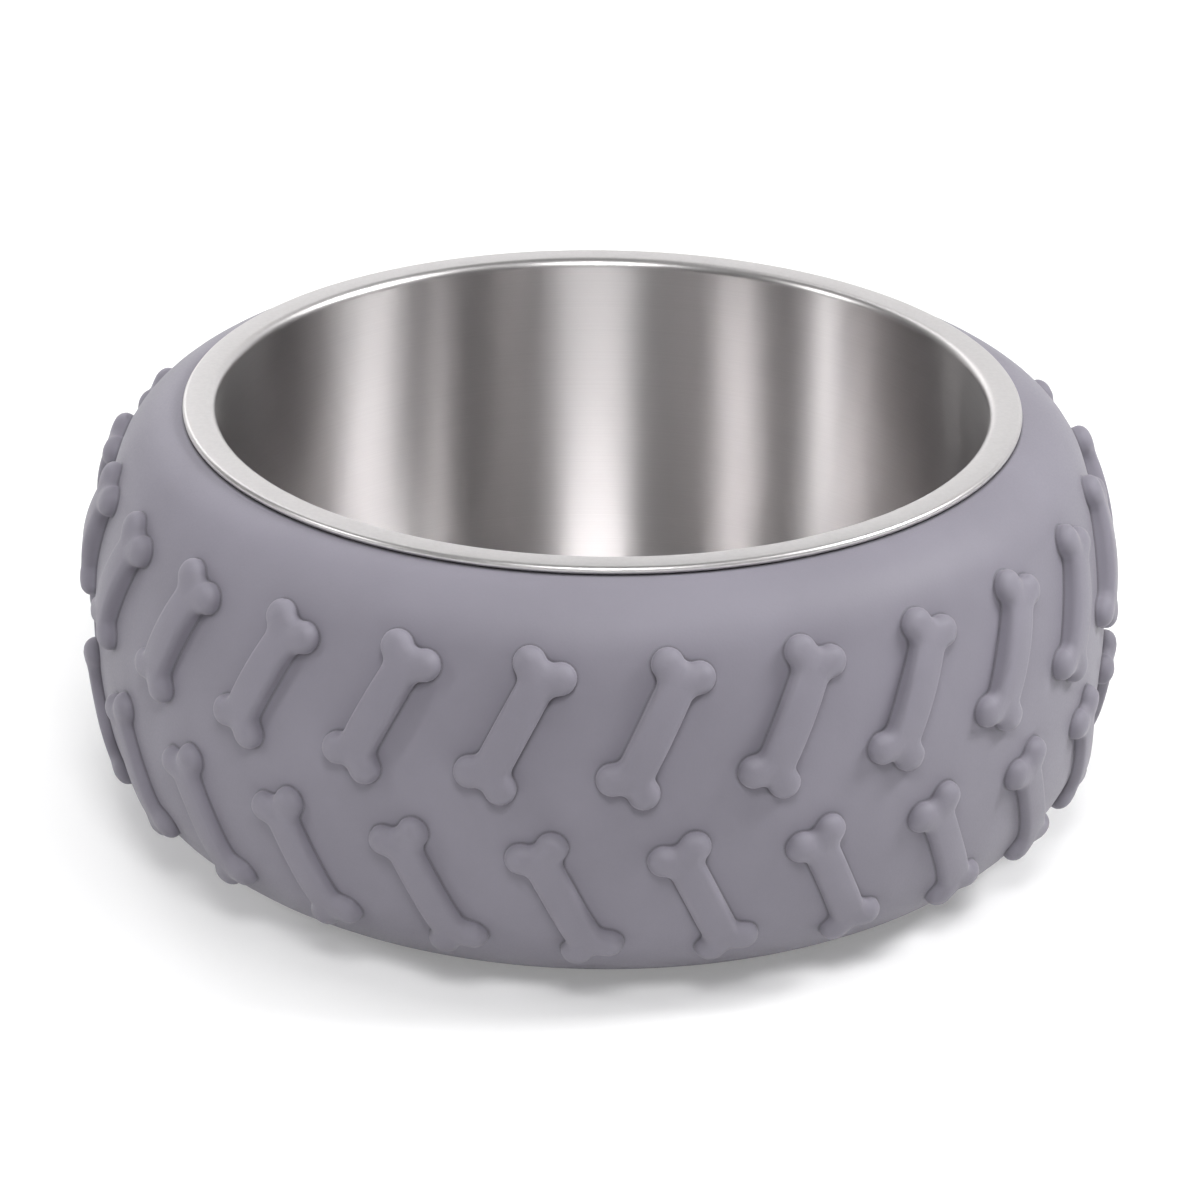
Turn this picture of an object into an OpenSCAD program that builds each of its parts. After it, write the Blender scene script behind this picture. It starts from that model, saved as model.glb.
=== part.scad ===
// Pet bowl: a drawn steel bowl that lifts out of a tyre-shaped silicone sleeve.
// Lengths are in millimetres and angles in degrees. The origin is the centre of the
// sleeve's foot, +Z is up and -Y is the front.

/* [Steel bowl] */
// Outside diameter of the rim
rim_d = 146; // [125:1:180]
// Width of the flat flange, from the mouth to the rim's edge
flange_w = 5.8; // [5:0.1:9]
// Width of the hem that is folded flat under the flange
hem_w = 3.6; // [2:0.1:4]
// Inside depth from the rim to the floor
bowl_depth = 69.5; // [55:0.5:90]
// Thickness of the steel sheet
sheet_t = 0.7; // [0.5:0.1:1]
// Bend radius where the flange turns down into the wall
mouth_bend_r = 1.6; // [1.2:0.1:2]
// Inside radius between the wall and the floor
floor_r = 8; // [4:0.5:12]
// Draft of the drawn wall
wall_draft = 1.2; // [0.5:0.1:3]

/* [Tyre sleeve] */
// How far the widest line of the tyre stands out past the rim
belly_out = 16; // [12:0.1:25]
// How far the widest line lies below the sleeve's mid-height
belly_drop = 0.8; // [0:0.1:2]
// Height from the top of the crown to the lip
upper_shoulder_h = 10; // [9:0.5:16]
// Height from the foot to the bottom of the crown
lower_shoulder_h = 20.5; // [14:0.5:24]
// Thickness of the silicone wall
wall_t = 4.5; // [3:0.5:6]
// Thickness of the lip under the rim
lip_t = 5; // [3:0.5:8]
// Thickness of the foot ring
foot_t = 5; // [3:0.5:8]
// Width of the foot ring's ledge under the bowl's floor
ledge_w = 8; // [4:0.5:16]

/* [Bone tread] */
// Bones in each row
bone_count = 24; // [12:1:26]
// Height of an upper bone's lobes above the wall
upper_relief = 2.4; // [1.5:0.1:3]
// Height of a lower bone's lobes above the wall
lower_relief = 2.1; // [1.5:0.1:3]
// Length of a bone between the lobe centres at its ends
bone_l = 21; // [14:0.1:22]
// Distance between the two lobe centres at one end
lobe_gap = 5.6; // [5:0.1:6]
// Radius of a lobe
lobe_r = 2.7; // [2.4:0.1:2.9]
// Width of the shank
shank_w = 6; // [5:0.1:6.5]
// How far the shank runs past the lobe centres, where its end is the floor of the notch
shank_over = 1.2; // [1:0.1:1.4]
// How far the shank's ends lie below the lobes' tops
shank_dip = 0.3; // [0.2:0.1:0.5]
// Rise of an upper bone's middle above its lobes' tops
upper_crest = 0.7; // [-0.5:0.1:1]
// Rise of a lower bone's middle above its lobes' tops
lower_crest = -0.2; // [-0.5:0.1:1]
// Width of the bevel round a bone's top
bevel = 0.8; // [0.4:0.1:1]
// Lean of the bones from the upright
bone_lean = 25.5; // [0:0.5:40]
// Height of each row's middle line above or below the middle of the tread
row_rise = 15.6; // [14:0.1:17]
// Height of the middle of the tread above the sleeve's mid-height
tread_lift = 0.7; // [-1:0.1:2]
// Turn of the upper row's first bone from the front
upper_turn = 6.1; // [0:0.1:15]
// Turn of the lower row's first bone from the front
lower_turn = -3.4; // [-15:0.1:0]

/* [Fit] */
// Gap round the bowl in the sleeve's lip
bowl_gap = 0.4; // [0.3:0.1:1]
// Gap between the bowl's floor and the foot ring's ledge
floor_gap = 0.4; // [0.3:0.1:1]
// Setback of the lip's edge behind the rim's edge
lip_setback = 0.5; // [0.3:0.1:1]

/* [Hidden] */
$fn = 96;
steel_colour = [0.78, 0.77, 0.75];
silicone_colour = [0.55, 0.54, 0.59];
// Straight steps that stand for a long arc and for a short one in a section
long_arc_steps = 6;
short_arc_steps = 3;

// Heights of the bowl and of the lip it sits on: the hem is two sheets thick
hem_t = 2 * sheet_t;
floor_z = foot_t + floor_gap + sheet_t;
rim_z = floor_z + bowl_depth;
seat_z = rim_z - hem_t;

// Section of the bowl's wall: its top point and the centre of the floor's corner
rim_r = rim_d / 2;
wall_top = [rim_r - flange_w, rim_z - mouth_bend_r];
corner_z = floor_z + floor_r;
corner_drop = (wall_top.y - corner_z) * sin(wall_draft);
corner = [wall_top.x - (corner_drop + floor_r) / cos(wall_draft), corner_z];

// Section of the sleeve: the crown is a zone of a sphere about its centre, and a shoulder
// arc meets it smoothly at each end. The upper one ends at the lip, the lower one runs out
// level at the foot.
lip_in_r = wall_top.x + sheet_t + bowl_gap;
lip_out = [rim_r - lip_setback, seat_z];
foot_in_r = corner.x - ledge_w;
belly_r = rim_r + belly_out;
mid_z = seat_z / 2;
centre = [0, mid_z - belly_drop];
crown_top_z = seat_z - upper_shoulder_h;
upper_a = asin((crown_top_z - centre.y) / belly_r);
lower_a = asin((lower_shoulder_h - centre.y) / belly_r);
upper_dir = [cos(upper_a), sin(upper_a)];
lower_dir = [cos(lower_a), sin(lower_a)];
to_lip = lip_out - (centre + belly_r * upper_dir);
upper_r = -(to_lip * to_lip) / (2 * to_lip * upper_dir);
upper_c = centre + (belly_r - upper_r) * upper_dir;
lower_r = lower_shoulder_h / (1 + sin(lower_a));
lower_c = centre + (belly_r - lower_r) * lower_dir;
lip_a = atan2(lip_out.y - upper_c.y, lip_out.x - upper_c.x);

// Bones: how deep they root in the wall, the middle of the two rows and the fineness of heights
bone_root = 2.5;
tread_z = mid_z + tread_lift;
micron = 0.001;

// Points along an arc from one angle to another; the last one is left out
function arc(c, r, from, to, steps) =
    [for (i = [0 : steps - 1])
        let (a = from + (to - from) * i / steps)
        c + r * [cos(a), sin(a)]];

// Point on an arc's circle
function on_arc(c, r, a) = c + r * [cos(a), sin(a)];

// Arc of the sleeve's section that holds at height z, as [centre, radius]
function sleeve_arc(z) =
    z > crown_top_z ? [upper_c, upper_r]
    : z < lower_shoulder_h ? [lower_c, lower_r]
    : [centre, belly_r];

// Tilt of the sleeve's surface at height z: 0 is upright, positive looks up
function tilt_at(z) = asin((z - sleeve_arc(z)[0].y) / sleeve_arc(z)[1]);

// Radius of the sleeve at height z
function radius_at(z) = sleeve_arc(z)[0].x + sleeve_arc(z)[1] * cos(tilt_at(z));

// How far the wall falls away, at a height z + rise, from the plane that touches it at height z
function wall_fall(z, rise) =
    [radius_at(z) - radius_at(z + rise), -rise] * [cos(tilt_at(z)), sin(tilt_at(z))];

// Half section of the sleeve as if it were full, drawn in by inset. The outline leaves each
// shoulder along its last step, and the crown's circle trims it there.
module full_half(inset) {
    lower = arc(lower_c, lower_r - inset, -90, lower_a, long_arc_steps);
    upper = arc(upper_c, upper_r - inset, lip_a, upper_a, long_arc_steps);
    lower_end = lower[long_arc_steps - 1];
    upper_end = upper[long_arc_steps - 1];
    past_lower = lower_end + 2 * (on_arc(lower_c, lower_r - inset, lower_a) - lower_end);
    past_upper = upper_end + 2 * (on_arc(upper_c, upper_r - inset, upper_a) - upper_end);
    upwards = [for (i = [long_arc_steps - 1 : -1 : 0]) upper[i]];
    intersection() {
        translate(centre) circle(belly_r - inset);
        polygon(concat([[0, lower[0].y]], lower, [past_lower, past_upper], upwards, [[0, upper[0].y]]));
    }
}

// Half section of the space in the sleeve: foot opening, bore for the bowl, hollow behind the wall
module sleeve_space() {
    translate([0, -foot_t]) square([foot_in_r, 3 * foot_t]);
    translate([0, foot_t]) square([lip_in_r, seat_z]);
    intersection() {
        full_half(wall_t);
        translate([0, foot_t]) square([belly_r, seat_z - lip_t - foot_t]);
    }
}

// Puts its child on the sleeve at height z and angle turn, with +X along the surface's normal
module on_sleeve(z, turn) {
    rotate([0, 0, turn - 90])
        translate([radius_at(z), 0, z])
            rotate([0, -tilt_at(z), 0])
                children();
}

// One lobe: a round button with a bevelled top that stands out along +X
module lobe(relief) {
    rotate([0, 90, 0])
        rotate_extrude($fn = 32)
            polygon([
                [0, -bone_root], [lobe_r, -bone_root], [lobe_r, relief - bevel],
                [lobe_r - bevel, relief], [0, relief]
            ]);
}

// The shank of a bone at height z: a bar with a bevelled top that lies along Y and bends with
// the wall. Its middle stands crest above the lobes' tops.
module shank(z, lean, relief, crest) {
    half = shank_w / 2;
    reach = bone_l / 2 + shank_over;
    stations = [-reach, -reach / 3, reach / 3, reach];
    points = [for (s = stations)
        let (
            share = min(1, abs(s) / (bone_l / 2)),
            wall = -round(wall_fall(z, s * cos(lean) * cos(tilt_at(z))) / micron) * micron,
            swell = round((crest + shank_dip) * (1 - share * share) / micron) * micron,
            top = wall + relief - shank_dip + swell,
            root = wall - bone_root
        )
        each [
            [root, s, -half], [top - bevel, s, -half], [top, s, bevel - half],
            [top, s, half - bevel], [top - bevel, s, half], [root, s, half]
        ]];
    sides = [for (i = [0 : 6 : 12], j = [0 : 5])
        [i + j, i + (j + 1) % 6, i + (j + 1) % 6 + 6, i + j + 6]];
    polyhedron(points, concat([[5, 4, 3, 2, 1, 0]], sides, [[18, 19, 20, 21, 22, 23]]));
}

// One bone at height z and angle turn; its upper end leans to the right where lean is positive
module bone(z, turn, lean, relief, crest) {
    on_sleeve(z, turn) rotate([90 - lean, 0, 0]) shank(z, lean, relief, crest);
    for (end = [-1, 1], side = [-1, 1]) {
        along = end * bone_l / 2;
        across = side * lobe_gap / 2;
        lobe_z = z + (along * cos(lean) - across * sin(lean)) * cos(tilt_at(z));
        shift = along * sin(lean) + across * cos(lean);
        on_sleeve(lobe_z, turn + shift / radius_at(lobe_z) * 180 / PI) lobe(relief);
    }
}

// Silicone sleeve with two rows of bones that lean against each other
module tyre_sleeve() {
    color(silicone_colour) {
        rotate_extrude()
            difference() {
                full_half(0);
                sleeve_space();
            }
        for (i = [0 : bone_count - 1]) {
            turn = i * 360 / bone_count;
            bone(tread_z + row_rise, upper_turn + turn, bone_lean, upper_relief, upper_crest);
            bone(tread_z - row_rise, lower_turn + turn, -bone_lean, lower_relief, lower_crest);
        }
    }
}

// Deep-drawn bowl with a flat flange and a rim hemmed under it
module steel_bowl() {
    bend_c = wall_top + [mouth_bend_r, 0];
    hem_c = [rim_r - hem_t / 2, rim_z - hem_t / 2];
    inside = concat(
        [[0, floor_z]],
        arc(corner, floor_r, -90, -wall_draft, long_arc_steps),
        [on_arc(corner, floor_r, -wall_draft)],
        arc(bend_c, mouth_bend_r, 180, 90, short_arc_steps),
        [[bend_c.x, rim_z]]
    );
    hem = concat(
        arc(hem_c, hem_t / 2, 90, -90, 2 * short_arc_steps),
        [[hem_c.x, seat_z], [rim_r - hem_w, seat_z], [rim_r - hem_w, rim_z - sheet_t]]
    );
    outside = concat(
        arc(bend_c, mouth_bend_r - sheet_t, 90, 180, short_arc_steps),
        [wall_top + [sheet_t, 0]],
        arc(corner, floor_r + sheet_t, -wall_draft, -90, long_arc_steps),
        [[corner.x, floor_z - sheet_t], [0, floor_z - sheet_t]]
    );
    color(steel_colour)
        rotate_extrude()
            polygon(concat(inside, hem, outside));
}

tyre_sleeve();
steel_bowl();
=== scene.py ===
"""Pet bowl: a drawn steel bowl that lifts out of a tyre-shaped silicone sleeve with a bone tread.

Sizes are in millimetres and angles in degrees, and points turn into metres where a mesh is made.
The frame is the CAD model's: the origin is the centre of the foot, +Z is up and -Y is the front.
"""

from math import asin, atan, atan2, cos, degrees, pi, radians, sin, sqrt, tan

import bmesh
import bpy
from mathutils import Matrix, Vector
from mathutils.geometry import delaunay_2d_cdt


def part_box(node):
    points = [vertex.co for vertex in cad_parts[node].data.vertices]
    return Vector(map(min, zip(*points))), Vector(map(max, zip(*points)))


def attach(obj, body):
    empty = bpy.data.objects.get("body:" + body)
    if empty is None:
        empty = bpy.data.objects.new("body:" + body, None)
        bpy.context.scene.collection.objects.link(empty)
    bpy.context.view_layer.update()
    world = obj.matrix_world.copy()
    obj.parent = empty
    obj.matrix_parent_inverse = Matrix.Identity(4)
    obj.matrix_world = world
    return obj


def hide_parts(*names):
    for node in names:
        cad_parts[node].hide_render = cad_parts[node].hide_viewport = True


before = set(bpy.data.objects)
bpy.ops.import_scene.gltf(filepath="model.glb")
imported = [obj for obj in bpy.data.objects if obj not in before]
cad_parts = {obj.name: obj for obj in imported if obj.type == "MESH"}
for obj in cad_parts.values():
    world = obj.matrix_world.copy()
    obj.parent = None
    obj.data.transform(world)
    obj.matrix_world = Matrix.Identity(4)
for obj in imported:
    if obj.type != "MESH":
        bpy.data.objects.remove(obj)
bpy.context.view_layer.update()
MM = 1000
bowl_low, bowl_high = (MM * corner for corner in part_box("steel_bowl"))

# Steel bowl
rim_r = bowl_high.x
rim_z = bowl_high.z
flange_w = 5.8
hem_w = 3.6
sheet_t = 0.7
mouth_bend_r = 1.6
floor_r = 8
wall_draft = 1.2

# Tyre sleeve
belly_out = 16
belly_drop = 0.8
upper_shoulder_h = 10
lower_shoulder_h = 20.5
wall_t = 4.5
lip_t = 5
foot_t = 5
ledge_w = 8
bowl_gap = 0.4
lip_setback = 0.5
soft_corner_r = 0.5

# Bone tread
bone_count = 24
upper_relief = 2.4
lower_relief = 2.1
bone_l = 21
lobe_gap = 5.6
lobe_r = 2.7
shank_w = 6
upper_crest = 0.7
lower_crest = -0.2
bone_lean = 25.5
row_rise = 15.6
tread_lift = 0.7
upper_turn = 6.1
lower_turn = -3.4

# Soft forms of a bone: a fillet and a margin of plain wall at its foot, a rounded edge that is
# tighter on the shank, a dome on each lobe, the neck, the notch and a slightly pillowed top
bone_foot_r = 0.1
flat_margin = 0.35
edge_in = 2
edge_h = 1.6
shank_soft = 0.5
lobe_dome = 0.35
neck_r = 2
notch_r = 1.6
pillow_in = 0.4
pillow_h = 0.06

# Mesh: steps round each form, the angle of a sharp edge and, in metres, the merging distance
FOOT_STEPS = 3
NOTCH_STEPS = 3
LOBE_STEPS = 12
NECK_STEPS = 4
SHANK_STEPS = 8
EDGE_STEPS = 6
SPINE_STEPS = 8
TILE_STEPS = 12
TILE_SIDE_STEPS = 16
ROUND_STEPS = 8
CORNER_STEPS = 4
BOWL_SEGMENTS = 288
SHARP_EDGE = 40
MERGE = 1e-6

# Studio, in metres: the floor just below the foot, the card behind and the room's light
FLOOR_Z = -0.0001
FLOOR_HALF = 6
CARD_Y = 1.4
CARD_HALF = 2
CARD_TOP = 1.6
PAPER_GREY = 0.77
FLOOR_GLOW = 0.25
CARD_GLOW = 0.5
ROOM_LIGHT = 0.12

# Camera: aimed from the front and above at the middle of the rim, as fitted to the photograph
PHOTO_PX = 1200
FOCAL_PX = 5427
camera_distance = 946
camera_rise = 22.24
camera_pitch = 24.38
camera_roll = 0.76


def heading(angle):
    """Unit vector at an angle."""
    return Vector((cos(radians(angle)), sin(radians(angle))))


def arc(centre, radius, start, end, steps):
    """Points on an arc from one angle to another; the last one is left out."""
    turn = (end - start) / steps
    return [Vector(centre) + radius * heading(start + turn * i) for i in range(steps)]


def place(radius, height, angle):
    """Point in metres at a radius, a height and an angle round the bowl, 0 at the front."""
    return Vector((radius * sin(angle), -radius * cos(angle), height)) / MM


# Places of the bowl's section
hem_t = 2 * sheet_t
seat_z = rim_z - hem_t
floor_z = bowl_low.z + sheet_t
wall_top = Vector((rim_r - flange_w, rim_z - mouth_bend_r))
corner_z = floor_z + floor_r
corner_drop = (wall_top.y - corner_z) * sin(radians(wall_draft))
corner = Vector((wall_top.x - (corner_drop + floor_r) / cos(radians(wall_draft)), corner_z))

# Places of the sleeve's section: a round crown with a shoulder arc at each end
belly_r = rim_r + belly_out
mid_z = seat_z / 2
crown_c = Vector((0, mid_z - belly_drop))
crown_top_z = seat_z - upper_shoulder_h
lip_in_r = wall_top.x + sheet_t + bowl_gap
lip_out = Vector((rim_r - lip_setback, seat_z))
foot_in_r = corner.x - ledge_w
upper_a = degrees(asin((crown_top_z - crown_c.y) / belly_r))
lower_a = degrees(asin((lower_shoulder_h - crown_c.y) / belly_r))
to_lip = lip_out - (crown_c + belly_r * heading(upper_a))
upper_r = -to_lip.dot(to_lip) / (2 * to_lip.dot(heading(upper_a)))
upper_c = crown_c + (belly_r - upper_r) * heading(upper_a)
lower_r = lower_shoulder_h / (1 + sin(radians(lower_a)))
lower_c = crown_c + (belly_r - lower_r) * heading(lower_a)
lip_a = degrees(atan2(lip_out.y - upper_c.y, lip_out.x - upper_c.x))

# Distances along the section, up from the belly
upper_q = belly_r * radians(upper_a)
lower_q = belly_r * radians(lower_a)
lip_q = upper_q + upper_r * radians(lip_a - upper_a)
foot_q = lower_q - lower_r * radians(90 + lower_a)
pitch = 2 * pi * belly_r / bone_count


def on_wall(q):
    """Radius, height and tilt in radians of the wall at a distance q along its section."""
    if q > upper_q:
        c, r, a = upper_c, upper_r, radians(upper_a) + (q - upper_q) / upper_r
    elif q < lower_q:
        c, r, a = lower_c, lower_r, radians(lower_a) + (q - lower_q) / lower_r
    else:
        c, r, a = crown_c, belly_r, q / belly_r
    return c.x + r * cos(a), c.y + r * sin(a), a


def wall_point(girth, q, height):
    """Point in metres above the wall, at a girth measured round the belly from the front."""
    radius, z, tilt = on_wall(q)
    return place(radius + height * cos(tilt), z + height * sin(tilt), girth / belly_r)


def bone_outline():
    """Outline of a bone in tangent arcs, as (point, outward normal, softness of its edge)."""
    half_gap = lobe_gap / 2
    half_l = bone_l / 2
    half_w = shank_w / 2
    neck_x = half_w + neck_r
    neck_y = half_l - sqrt((lobe_r + neck_r) ** 2 - (neck_x - half_gap) ** 2)
    notch_y = half_l + sqrt((lobe_r + notch_r) ** 2 - half_gap**2)
    neck_a = degrees(atan2(half_l - neck_y, neck_x - half_gap))
    notch_a = degrees(atan2(notch_y - half_l, half_gap))
    shank_step = 2 * neck_y / SHANK_STEPS

    def bulge(centre, radius, start, end, steps):
        points = arc(centre, radius, start, end, steps)
        return [(p, (p - Vector(centre)) / radius, 1) for p in points]

    def hollow(centre, radius, start, end, steps, soft, next_soft):
        points = arc(centre, radius, start, end, steps)
        fade = (next_soft - soft) / steps
        return [(p, (Vector(centre) - p) / radius, soft + fade * i) for i, p in enumerate(points)]

    shank = [Vector((half_w, shank_step * i - neck_y)) for i in range(SHANK_STEPS)]
    side = (
        hollow((0, -notch_y), notch_r, 90, notch_a, NOTCH_STEPS, 1, 1)
        + bulge((half_gap, -half_l), lobe_r, notch_a - 180, neck_a, LOBE_STEPS)
        + hollow((neck_x, -neck_y), neck_r, neck_a + 180, 180, NECK_STEPS, 1, shank_soft)
        + [(p, Vector((1, 0)), shank_soft) for p in shank]
        + hollow((neck_x, neck_y), neck_r, 180, 180 - neck_a, NECK_STEPS, shank_soft, 1)
        + bulge((half_gap, half_l), lobe_r, -neck_a, 180 - notch_a, LOBE_STEPS)
        + hollow((0, notch_y), notch_r, -notch_a, -90, NOTCH_STEPS, 1, 1)
    )
    return side + [(-point, -normal, soft) for point, normal, soft in side]


def bone_ring(grow):
    """Outline pushed out by grow, or drawn in by as much as the edge is soft."""
    return [p + normal * (grow if grow > 0 else grow * soft) for p, normal, soft in bone_outline()]


def bone_section():
    """Rings of a bone from the wall to its top, as (grow, lift, share of the top's height)."""
    foot = arc((bone_foot_r, bone_foot_r), bone_foot_r, -90, -180, FOOT_STEPS)
    edge = [heading(90 * i / EDGE_STEPS) for i in range(EDGE_STEPS + 1)]
    return (
        [(bone_foot_r + flat_margin, 0, 0)]
        + [(p.x, p.y, 0) for p in foot]
        + [(0, bone_foot_r, 0)]
        + [(edge_in * (e.x - 1), edge_h * (e.y - 1), 1) for e in edge]
        + [(-edge_in - pillow_in, pillow_h, 1)]
    )


def bone_top(point, relief, crest):
    """Height of a bone's top above the wall at a point (across, along), domed on each lobe."""
    share = min(1, abs(point.y) / (bone_l / 2))
    off_lobe = Vector((abs(point.x) - lobe_gap / 2, abs(point.y) - bone_l / 2)).length / lobe_r
    return relief + crest * (1 - share**2) + lobe_dome * max(0, 1 - off_lobe**2)


def inside(point, loop):
    """Whether a flat point lies in a closed loop."""
    hit = False
    for a, b in zip(loop, loop[1:] + loop[:1]):
        if (a.y > point.y) != (b.y > point.y):
            if point.x < a.x + (point.y - a.y) * (b.x - a.x) / (b.y - a.y):
                hit = not hit
    return hit


def fill(loops, spots):
    """Triangles between closed loops of flat points, with loose spots among them, as indices."""
    edges = []
    start = 0
    for loop in loops:
        size = len(loop)
        edges += [(start + i, start + (i + 1) % size) for i in range(size)]
        start += size
    flat = [point for loop in loops for point in loop] + spots
    found = delaunay_2d_cdt(flat, edges, [], 1, MERGE)
    source = [ids[0] for ids in found[3]]
    return [[source[i] for i in face] for face in found[2]], flat


def bone_tile(row_q, turn, lean, relief, crest, low_q, high_q):
    """One bone and the wall round it, as (girth, q, height) points and faces. The tile leans with
    the bone, and its edges repeat every pitch, so that tiles side by side close the sleeve."""
    slope = tan(radians(lean))
    row_girth = belly_r * radians(turn)
    step = pitch / TILE_STEPS

    def lay(point):
        """Flat place (girth, q) of a point (across, along) of the bone."""
        shift = point.x * cos(radians(lean)) + point.y * sin(radians(lean))
        q = row_q + point.y * cos(radians(lean)) - point.x * sin(radians(lean))
        return Vector((row_girth + shift * belly_r / on_wall(q)[0], q))

    def left_edge(q):
        """Girth of the tile's left edge, on a whole step at its two ends."""
        leaning = [row_girth - pitch / 2 + slope * (end - row_q) for end in (low_q, high_q)]
        low, high = (step * round(girth / step) for girth in leaning)
        return low + (high - low) * (q - low_q) / (high_q - low_q)

    points = []
    faces = []
    for grow, lift, share in bone_section():
        for p in bone_ring(grow):
            flat = lay(p)
            points.append((flat.x, flat.y, lift + share * bone_top(p, relief, crest)))
    size = len(bone_outline())
    for ring in range(len(points) // size - 1):
        for i in range(size):
            j = (i + 1) % size
            a, b = ring * size, (ring + 1) * size
            faces.append([a + i, a + j, b + j, b + i])

    def add_fill(rings, spots, heights, keep):
        """Adds triangles over rings of points that are there already and over new spots."""
        loops = [[Vector(points[i][:2]) for i in ring] for ring in rings]
        index = [i for ring in rings for i in ring] + [len(points) + i for i in range(len(spots))]
        points.extend((s.x, s.y, h) for s, h in zip(spots, heights))
        triangles, flat = fill(loops, spots)
        for triangle in triangles:
            middle = sum((flat[i] for i in triangle), Vector((0, 0))) / 3
            if keep(middle):
                faces.append([index[i] for i in triangle])

    # Top of the bone
    top_ring = list(range(len(points) - size, len(points)))
    top_loop = [Vector(points[i][:2]) for i in top_ring]
    spine = [Vector((0, bone_l * (i / SPINE_STEPS - 0.5))) for i in range(SPINE_STEPS + 1)]
    ends = [Vector((x * lobe_gap / 2, y * bone_l / 2)) for x in (-1, 1) for y in (-1, 1)]
    spots = spine + ends
    add_fill(
        [top_ring],
        [lay(p) for p in spots],
        [bone_top(p, relief, crest) + pillow_h for p in spots],
        lambda middle: inside(middle, top_loop),
    )

    # Wall round the bone
    foot_ring = list(range(size))
    foot_loop = [Vector(points[i][:2]) for i in foot_ring]
    side = [low_q + (high_q - low_q) * i / TILE_SIDE_STEPS for i in range(TILE_SIDE_STEPS)]
    border = (
        [Vector((left_edge(low_q) + step * i, low_q)) for i in range(TILE_STEPS)]
        + [Vector((left_edge(q) + pitch, q)) for q in side]
        + [Vector((left_edge(high_q) + pitch - step * i, high_q)) for i in range(TILE_STEPS)]
        + [Vector((left_edge(q), q)) for q in [high_q] + side[:0:-1]]
    )
    border_ring = list(range(len(points), len(points) + len(border)))
    points.extend((p.x, p.y, 0) for p in border)
    spots = []
    for q in side[1:]:
        for i in range(1, TILE_STEPS):
            spot = Vector((left_edge(q) + step * i, q))
            clear = min((spot - p).length for p in foot_loop) > step / 2
            if clear and not inside(spot, foot_loop):
                spots.append(spot)
    add_fill(
        [foot_ring, border_ring],
        spots,
        [0] * len(spots),
        lambda middle: inside(middle, border) and not inside(middle, foot_loop),
    )
    return points, faces


def revolve(bm, section, segments):
    """Adds the faces that a section of (radius, height) points sweeps round the axis."""
    rings = []
    for radius, height in section:
        angles = [2 * pi * i / segments for i in range(segments)]
        rings.append([bm.verts.new(place(radius, height, a)) for a in angles])
    for low, high in zip(rings, rings[1:]):
        for i in range(segments):
            bm.faces.new((low[i - 1], low[i], high[i], high[i - 1]))


def dress(name, bm, material, body, node):
    """Makes a piece from a bmesh: it rides on a body and stands for a CAD node."""
    bmesh.ops.remove_doubles(bm, verts=bm.verts, dist=MERGE)
    bmesh.ops.recalc_face_normals(bm, faces=bm.faces)
    mesh = bpy.data.meshes.new(name)
    bm.to_mesh(mesh)
    bm.free()
    mesh.shade_smooth()
    mesh.set_sharp_from_angle(angle=radians(SHARP_EDGE))
    mesh.materials.append(material)
    piece = bpy.data.objects.new(name, mesh)
    bpy.context.collection.objects.link(piece)
    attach(piece, body)
    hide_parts(node)


def sleeve_rest(top_q, bottom_q):
    """Section of the sleeve from the tread over lip, hollow and foot back to the tread."""
    def shoulder(start, end):
        steps = ROUND_STEPS
        return [Vector(on_wall(start + (end - start) * i / steps)[:2]) for i in range(steps + 1)]

    c = soft_corner_r
    ceiling_z = seat_z - lip_t
    ceiling_a = degrees(asin((ceiling_z - upper_c.y) / (upper_r - wall_t)))
    ledge_a = degrees(asin((foot_t - lower_c.y) / (lower_r - wall_t)))
    return (
        shoulder(top_q, lip_q)
        + arc((lip_in_r + c, seat_z - c), c, 90, 180, CORNER_STEPS)
        + arc((lip_in_r + c, ceiling_z + c), c, 180, 270, CORNER_STEPS)
        + [Vector((lip_in_r + c, ceiling_z))]
        + arc(upper_c, upper_r - wall_t, ceiling_a, upper_a, ROUND_STEPS)
        + arc(crown_c, belly_r - wall_t, upper_a, lower_a, ROUND_STEPS)
        + arc(lower_c, lower_r - wall_t, lower_a, ledge_a, ROUND_STEPS)
        + [Vector((lower_c.x + (lower_r - wall_t) * cos(radians(ledge_a)), foot_t))]
        + arc((foot_in_r + c, foot_t - c), c, 90, 180, CORNER_STEPS)
        + arc((foot_in_r + c, c), c, 180, 270, CORNER_STEPS)
        + [Vector((foot_in_r + c, 0))]
        + shoulder(foot_q, bottom_q)
    )


def make_sleeve(material):
    """Silicone sleeve: two rows of tiles with a bone each, and the rest revolved."""
    rows_z = [mid_z + tread_lift + rise for rise in (row_rise, 0, -row_rise)]
    upper_row, mid_q, lower_row = (belly_r * asin((z - crown_c.y) / belly_r) for z in rows_z)
    top_q = 2 * upper_row - mid_q
    bottom_q = 2 * lower_row - mid_q
    bm = bmesh.new()
    tiles = [
        bone_tile(upper_row, upper_turn, bone_lean, upper_relief, upper_crest, mid_q, top_q),
        bone_tile(lower_row, lower_turn, -bone_lean, lower_relief, lower_crest, bottom_q, mid_q),
    ]
    for points, faces in tiles:
        for i in range(bone_count):
            verts = [bm.verts.new(wall_point(girth + i * pitch, q, h)) for girth, q, h in points]
            for face in faces:
                bm.faces.new([verts[k] for k in face])
    revolve(bm, sleeve_rest(top_q, bottom_q), bone_count * TILE_STEPS)
    dress("silicone_sleeve", bm, material, "sleeve", "tyre_sleeve")


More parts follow.
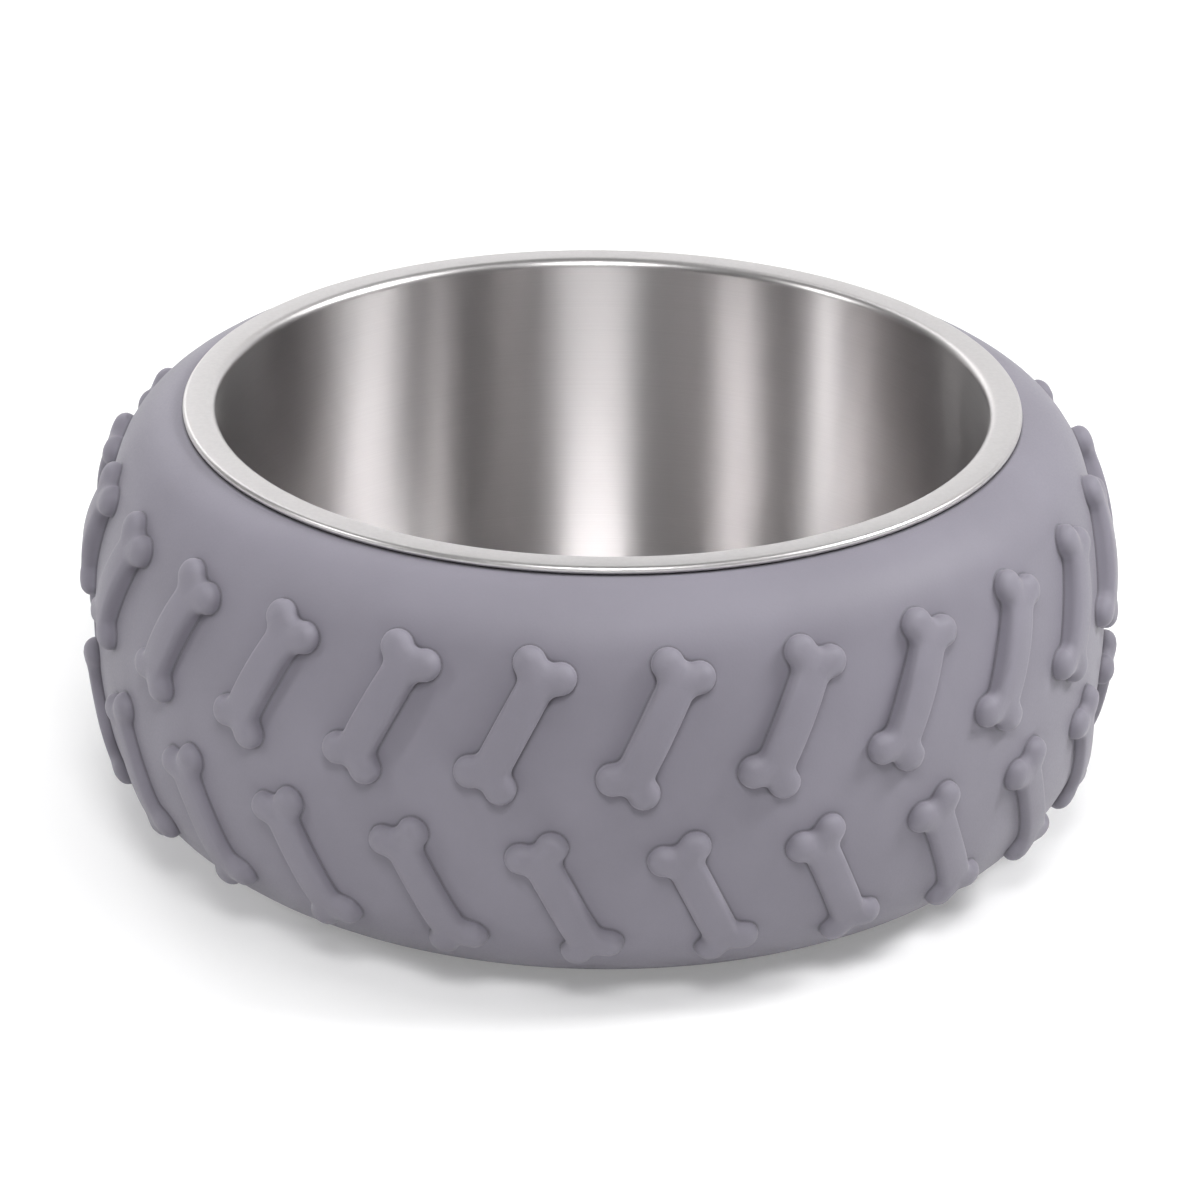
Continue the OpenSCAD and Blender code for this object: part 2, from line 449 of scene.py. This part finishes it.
def make_bowl(material):
    """Drawn steel bowl: floor, wall, flange, folded hem and the outside."""
    bend_c = wall_top + Vector((mouth_bend_r, 0))
    hem_c = Vector((rim_r - hem_t / 2, rim_z - hem_t / 2))
    hem_in = rim_r - hem_w
    section = (
        [Vector((0, floor_z)), Vector((corner.x / 2, floor_z))]
        + arc(corner, floor_r, -90, -wall_draft, 2 * ROUND_STEPS)
        + [corner + floor_r * heading(-wall_draft)]
        + arc(bend_c, mouth_bend_r, 180, 90, ROUND_STEPS)
        + [Vector((bend_c.x, rim_z))]
        + arc(hem_c, hem_t / 2, 90, -90, ROUND_STEPS)
        + [Vector((hem_c.x, seat_z)), Vector((hem_in, seat_z)), Vector((hem_in, rim_z - sheet_t))]
        + arc(bend_c, mouth_bend_r - sheet_t, 90, 180, ROUND_STEPS)
        + [wall_top + Vector((sheet_t, 0))]
        + arc(corner, floor_r + sheet_t, -wall_draft, -90, 2 * ROUND_STEPS)
        + [Vector((corner.x, floor_z - sheet_t)), Vector((0, floor_z - sheet_t))]
    )
    bm = bmesh.new()
    revolve(bm, section, BOWL_SEGMENTS)
    dress("drawn_bowl", bm, material, "bowl", "steel_bowl")


def add(tree, kind, inputs=None, **settings):
    """Adds a node; an input is a value or another node's output."""
    made = tree.nodes.new(kind)
    for key, value in settings.items():
        setattr(made, key, value)
    for key, value in (inputs or {}).items():
        if isinstance(value, bpy.types.NodeSocket):
            tree.links.new(value, made.inputs[key])
        else:
            made.inputs[key].default_value = value
    return made


def new_material(name):
    """A material with an empty node tree, and that tree."""
    material = bpy.data.materials.new(name)
    material.use_nodes = True
    material.node_tree.nodes.clear()
    return material, material.node_tree


def silicone():
    """Matte grey-lavender silicone: a fine moulded grain, a faint cloudiness and painted shade that
    darkens its creases.
    """
    material, tree = new_material("matte_silicone")
    where = add(tree, "ShaderNodeTexCoord").outputs["Object"]
    cloud = add(tree, "ShaderNodeTexNoise", {"Vector": where, "Scale": 45, "Detail": 3})
    grain = add(tree, "ShaderNodeTexNoise", {"Vector": where, "Scale": 2600, "Detail": 2})
    tone = add(tree, "ShaderNodeValToRGB", {"Fac": cloud.outputs["Fac"]})
    tone.color_ramp.elements[0].position = 0.3
    tone.color_ramp.elements[0].color = (0.209, 0.197, 0.234, 1)
    tone.color_ramp.elements[1].position = 0.7
    tone.color_ramp.elements[1].color = (0.232, 0.219, 0.260, 1)
    # Painted shade: ambient occlusion darkens the colour in creases, such as the foot of each bone,
    # where shade falls
    painted_crease_shade = add(tree, "ShaderNodeAmbientOcclusion", {"Distance": 0.0008}, samples=8)
    shade = add(
        tree,
        "ShaderNodeMapRange",
        {
            "Value": painted_crease_shade.outputs["AO"],
            "From Min": 0.4,
            "From Max": 0.85,
            "To Min": 0.2,
            "To Max": 1,
        },
    )
    colour = add(
        tree,
        "ShaderNodeVectorMath",
        {0: tone.outputs["Color"], "Scale": shade.outputs["Result"]},
        operation="SCALE",
    )
    rough = add(
        tree,
        "ShaderNodeMapRange",
        {
            "Value": grain.outputs["Fac"],
            "From Min": 0.3,
            "From Max": 0.7,
            "To Min": 0.5,
            "To Max": 0.64,
        },
    )
    bump = add(
        tree,
        "ShaderNodeBump",
        {"Height": grain.outputs["Fac"], "Strength": 0.25, "Distance": 0.00005},
    )
    surface = add(
        tree,
        "ShaderNodeBsdfPrincipled",
        {
            "Base Color": colour.outputs["Vector"],
            "Roughness": rough.outputs["Result"],
            "Normal": bump.outputs["Normal"],
            "IOR": 1.41,
            "Sheen Weight": 0.12,
            "Sheen Roughness": 0.5,
        },
    )
    out = add(tree, "ShaderNodeOutputMaterial")
    tree.links.new(surface.outputs["BSDF"], out.inputs["Surface"])
    return material


def steel():
    """Stainless steel: a wall polished round the axis, which draws reflections out into upright
    bands, and a satin flange."""
    material, tree = new_material("polished_steel")
    where = add(tree, "ShaderNodeTexCoord").outputs["Object"]
    xyz = add(tree, "ShaderNodeSeparateXYZ", {"Vector": where})
    flat = add(tree, "ShaderNodeCombineXYZ", {"X": xyz.outputs["X"], "Y": xyz.outputs["Y"]})
    radius = add(tree, "ShaderNodeVectorMath", {0: flat.outputs["Vector"]}, operation="LENGTH")
    turned = add(
        tree,
        "ShaderNodeCombineXYZ",
        {"X": radius.outputs["Value"], "Y": xyz.outputs["Z"]},
    )
    lines = add(
        tree,
        "ShaderNodeTexNoise",
        {"Vector": turned.outputs["Vector"], "Scale": 9000, "Detail": 2},
    )
    smears = add(tree, "ShaderNodeTexNoise", {"Vector": where, "Scale": 14, "Detail": 1})
    mottle = add(tree, "ShaderNodeTexNoise", {"Vector": where, "Scale": 1300, "Detail": 3})
    satin = add(
        tree,
        "ShaderNodeMapRange",
        {
            "Value": xyz.outputs["Z"],
            "From Min": (rim_z - mouth_bend_r) / MM,
            "From Max": (rim_z - sheet_t / 2) / MM,
            "To Min": 0,
            "To Max": 1,
        },
    )
    marks = add(
        tree,
        "ShaderNodeMix",
        {"Factor": satin.outputs["Result"], "A": lines.outputs["Fac"], "B": mottle.outputs["Fac"]},
    )
    tone = add(tree, "ShaderNodeValToRGB", {"Fac": marks.outputs["Result"]})
    tone.color_ramp.elements[0].position = 0.2
    tone.color_ramp.elements[0].color = (0.655, 0.636, 0.636, 1)
    tone.color_ramp.elements[1].position = 0.8
    tone.color_ramp.elements[1].color = (0.715, 0.695, 0.695, 1)
    polish = add(
        tree,
        "ShaderNodeMapRange",
        {
            "Value": smears.outputs["Fac"],
            "From Min": 0.3,
            "From Max": 0.7,
            "To Min": 0.28,
            "To Max": 0.3,
        },
    )
    rough = add(
        tree,
        "ShaderNodeMix",
        {"Factor": satin.outputs["Result"], "A": polish.outputs["Result"], "B": 0.4},
    )
    drawn = add(
        tree,
        "ShaderNodeMapRange",
        {"Value": satin.outputs["Result"], "To Min": 1, "To Max": 0.2},
    )
    bump = add(
        tree,
        "ShaderNodeBump",
        {"Height": lines.outputs["Fac"], "Strength": 0.1, "Distance": 0.00001},
    )
    tangent = add(tree, "ShaderNodeTangent", direction_type="RADIAL", axis="Z")
    surface = add(
        tree,
        "ShaderNodeBsdfPrincipled",
        {
            "Base Color": tone.outputs["Color"],
            "Metallic": 1.0,
            "Roughness": rough.outputs["Result"],
            "Anisotropic": drawn.outputs["Result"],
            "Anisotropic Rotation": 0.25,
            "Tangent": tangent.outputs["Tangent"],
            "Normal": bump.outputs["Normal"],
        },
    )
    out = add(tree, "ShaderNodeOutputMaterial")
    tree.links.new(surface.outputs["BSDF"], out.inputs["Surface"])
    return material


def paper(name, glow):
    """Pale studio paper with a glow that the camera and metal see, so that it shows white."""
    material, tree = new_material(name)
    path = add(tree, "ShaderNodeLightPath")
    camera = path.outputs["Is Camera Ray"]
    glossy = path.outputs["Is Glossy Ray"]
    through = path.outputs["Is Transmission Ray"]
    mirrored = add(tree, "ShaderNodeMath", {0: glossy, 1: through}, operation="MAXIMUM")
    seen = add(
        tree,
        "ShaderNodeMath",
        {0: camera, 1: mirrored.outputs["Value"]},
        operation="MAXIMUM",
    )
    lift = add(tree, "ShaderNodeMath", {0: seen.outputs["Value"], 1: glow}, operation="MULTIPLY")
    matte = add(tree, "ShaderNodeBsdfDiffuse", {"Color": (PAPER_GREY, PAPER_GREY, PAPER_GREY, 1)})
    shine = add(tree, "ShaderNodeEmission", {"Strength": lift.outputs["Value"]})
    both = add(
        tree,
        "ShaderNodeAddShader",
        {0: matte.outputs["BSDF"], 1: shine.outputs["Emission"]},
    )
    out = add(tree, "ShaderNodeOutputMaterial")
    tree.links.new(both.outputs["Shader"], out.inputs["Surface"])
    return material


def card(name, material, corners):
    """A flat four-cornered sheet of the studio."""
    mesh = bpy.data.meshes.new(name)
    mesh.from_pydata(corners, [], [(0, 1, 2, 3)])
    mesh.materials.append(material)
    made = bpy.data.objects.new(name, mesh)
    bpy.context.collection.objects.link(made)


def softbox(name, around, up, distance, width, length, radiance, in_metal=True):
    """A soft lamp aimed at the bowl from an angle round it, 0 at the front, and an angle up."""
    light = bpy.data.lights.new(name, "AREA")
    light.shape = "RECTANGLE"
    light.size = width
    light.size_y = length
    light.energy = radiance * pi * width * length
    lamp = bpy.data.objects.new(name, light)
    bpy.context.collection.objects.link(lamp)
    lamp.visible_glossy = in_metal
    level, rise = heading(up)
    away = Vector((level * sin(radians(around)), -level * cos(radians(around)), rise))
    lamp.location = Vector((0, 0, rim_z / MM / 2)) + away * distance
    lamp.rotation_euler = away.to_track_quat("Z", "Y").to_euler()


def make_studio():
    """White floor, a lit card behind, four lamps that show in the steel and two wide fills."""
    square = [(-1, -1), (1, -1), (1, 1), (-1, 1)]
    floor = [(x * FLOOR_HALF, y * FLOOR_HALF, FLOOR_Z) for x, y in square]
    upright = [(x * CARD_HALF, CARD_Y, FLOOR_Z if up < 0 else CARD_TOP) for x, up in square]
    card("floor", paper("floor_paper", FLOOR_GLOW), floor)
    card("background", paper("lit_paper", CARD_GLOW), upright)
    world = bpy.data.worlds.new("room")
    bpy.context.scene.world = world
    world.use_nodes = True
    room = world.node_tree.nodes["Background"]
    room.inputs["Color"].default_value = (1, 1, 1, 1)
    room.inputs["Strength"].default_value = ROOM_LIGHT
    softbox("front_lamp", around=2, up=48, distance=1.3, width=0.4, length=0.34, radiance=17)
    softbox("right_lamp", around=91, up=43, distance=1.3, width=0.46, length=0.3, radiance=27)
    softbox("left_lamp", around=-76, up=30, distance=1.3, width=0.09, length=0.34, radiance=32)
    softbox("back_left_lamp", around=-150, up=42, distance=1.3, width=0.2, length=1.4, radiance=2.4)
    softbox(
        "left_fill",
        around=-118,
        up=14,
        distance=1.5,
        width=1,
        length=0.6,
        radiance=2.5,
        in_metal=False,
    )
    softbox(
        "top_fill",
        around=0,
        up=89.9,
        distance=1.3,
        width=0.9,
        length=0.9,
        radiance=2.8,
        in_metal=False,
    )


def make_camera():
    """Camera at the photograph's place."""
    data = bpy.data.cameras.new("camera")
    data.sensor_fit = "HORIZONTAL"
    data.angle = 2 * atan(PHOTO_PX / 2 / FOCAL_PX)
    camera = bpy.data.objects.new("camera", data)
    bpy.context.collection.objects.link(camera)
    away = camera_distance * heading(camera_rise)
    spot = Vector((0, -away.x, rim_z + away.y)) / MM
    tip = Matrix.Rotation(radians(90 - camera_pitch), 4, "X")
    roll = Matrix.Rotation(radians(camera_roll), 4, "Z")
    camera.matrix_world = Matrix.Translation(spot) @ tip @ roll
    bpy.context.scene.camera = camera


make_sleeve(silicone())
make_bowl(steel())
make_studio()
make_camera()
bpy.context.scene.view_settings.view_transform = "Standard"
